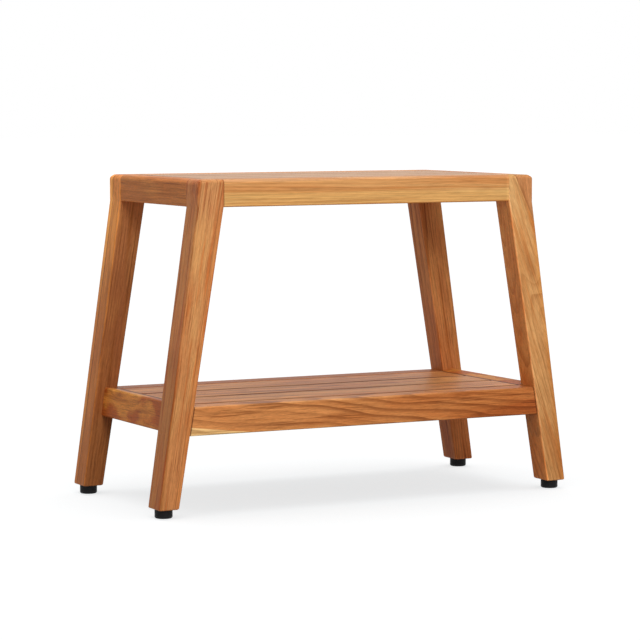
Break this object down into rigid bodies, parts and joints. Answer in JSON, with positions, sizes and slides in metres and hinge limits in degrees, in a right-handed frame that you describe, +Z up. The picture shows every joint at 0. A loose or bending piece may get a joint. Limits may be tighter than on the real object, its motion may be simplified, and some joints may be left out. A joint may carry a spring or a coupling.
{
  "type": "shower bench",
  "caption": "Free-standing slatted wooden shower bench with kneed, outward-leaning legs, a slatted lower shelf and screw-in levelling feet.",
  "frame": {"origin": "bottom centre of the bench, on the floor", "axes": "+X along the seat to the right, -Y is the front, +Z up"},
  "size_m": [0.6466, 0.2986, 0.457],
  "materials": {
    "leg_front_right": "satin golden teak",
    "leg_front_left": "satin tan teak",
    "leg_rear_right": "satin dark brown teak",
    "leg_rear_left": "satin brown teak",
    "head_wedge_front_right": "satin reddish teak",
    "seat_rail_front": "satin golden orange teak",
    "seat_rail_rear": "satin teak",
    "seat_end_rail_right": "satin teak",
    "seat_end_rail_left": "satin brown teak",
    "seat_slat_front": "satin pale teak",
    "seat_slat_middle": "satin pale teak",
    "seat_slat_rear": "satin pale teak",
    "shelf_rail_front": "satin orange brown teak",
    "shelf_rail_rear": "satin brown teak",
    "shelf_end_rail_right": "satin brown teak",
    "shelf_end_rail_left": "satin blotchy golden brown teak",
    "shelf_slat_front": "satin pinkish teak",
    "shelf_slat_middle": "satin pinkish teak",
    "shelf_slat_rear": "satin pinkish teak",
    "teak_under": "sawn and oiled teak",
    "dowel_wood": "plain hardwood",
    "screw_steel": "stainless steel",
    "stud_steel": "stainless steel",
    "insert_brass": "plain brass",
    "foot_rubber": "matte black rubber"
  },
  "bodies": {
    "bench": {"leg_front_right": "leg_front_right", "leg_front_left": "leg_front_left", "leg_rear_right": "leg_rear_right", "leg_rear_left": "leg_rear_left", "head_wedge_front_right": "head_wedge_front_right", "seat_rail_front": "seat_rail_front", "seat_rail_rear": "seat_rail_rear", "seat_end_rail_right": "seat_end_rail_right", "seat_end_rail_left": "seat_end_rail_left", "seat_slat_front": "seat_slat_front", "seat_slat_middle": "seat_slat_middle", "seat_slat_rear": "seat_slat_rear", "shelf_rail_front": "shelf_rail_front", "shelf_rail_rear": "shelf_rail_rear", "shelf_end_rail_right": "shelf_end_rail_right", "shelf_end_rail_left": "shelf_end_rail_left", "shelf_slat_front": "shelf_slat_front", "shelf_slat_middle": "shelf_slat_middle", "shelf_slat_rear": "shelf_slat_rear", "seat_cleat_right": "teak_under", "seat_cleat_left": "teak_under", "seat_batten": "teak_under", "shelf_cleat_right": "teak_under", "shelf_cleat_left": "teak_under", "shelf_batten": "teak_under", "seat_rail_dowels": "dowel_wood", "shelf_rail_dowels": "dowel_wood", "seat_slat_screws": "screw_steel", "shelf_slat_screws": "screw_steel", "seat_cleat_screws": "screw_steel", "shelf_cleat_screws": "screw_steel", "insert_front_right": "insert_brass", "insert_front_left": "insert_brass", "insert_rear_right": "insert_brass", "insert_rear_left": "insert_brass"},
    "stud_front_right": {"stud_front_right": "stud_steel"},
    "foot_front_right": {"foot_front_right": "foot_rubber"},
    "stud_front_left": {"stud_front_left": "stud_steel"},
    "foot_front_left": {"foot_front_left": "foot_rubber"},
    "stud_rear_right": {"stud_rear_right": "stud_steel"},
    "foot_rear_right": {"foot_rear_right": "foot_rubber"},
    "stud_rear_left": {"stud_rear_left": "stud_steel"},
    "foot_rear_left": {"foot_rear_left": "foot_rubber"}
  },
  "joints": [
    {"name": "foot_front_right_drop", "type": "slide", "parent": "bench", "child": "stud_front_right", "axis": [0, 0, -1], "range_m": [0, 0.01]},
    {"name": "foot_front_right_turn", "type": "hinge", "parent": "stud_front_right", "child": "foot_front_right", "pos_m": [0.30856, -0.13025, 0], "axis": [0, 0, -1], "range_deg": [0, 2880]},
    {"name": "foot_front_left_drop", "type": "slide", "parent": "bench", "child": "stud_front_left", "axis": [0, 0, -1], "range_m": [0, 0.01]},
    {"name": "foot_front_left_turn", "type": "hinge", "parent": "stud_front_left", "child": "foot_front_left", "pos_m": [-0.30856, -0.13025, 0], "axis": [0, 0, -1], "range_deg": [0, 2880]},
    {"name": "foot_rear_right_drop", "type": "slide", "parent": "bench", "child": "stud_rear_right", "axis": [0, 0, -1], "range_m": [0, 0.01]},
    {"name": "foot_rear_right_turn", "type": "hinge", "parent": "stud_rear_right", "child": "foot_rear_right", "pos_m": [0.30856, 0.13025, 0], "axis": [0, 0, -1], "range_deg": [0, 2880]},
    {"name": "foot_rear_left_drop", "type": "slide", "parent": "bench", "child": "stud_rear_left", "axis": [0, 0, -1], "range_m": [0, 0.01]},
    {"name": "foot_rear_left_turn", "type": "hinge", "parent": "stud_rear_left", "child": "foot_rear_left", "pos_m": [-0.30856, 0.13025, 0], "axis": [0, 0, -1], "range_deg": [0, 2880]}
  ],
  "couplings": [
    {"joint": "foot_front_right_drop", "follows": "foot_front_right_turn", "m_per_rad": 0.00019894},
    {"joint": "foot_front_left_drop", "follows": "foot_front_left_turn", "m_per_rad": 0.00019894},
    {"joint": "foot_rear_right_drop", "follows": "foot_rear_right_turn", "m_per_rad": 0.00019894},
    {"joint": "foot_rear_left_drop", "follows": "foot_rear_left_turn", "m_per_rad": 0.00019894}
  ]
}
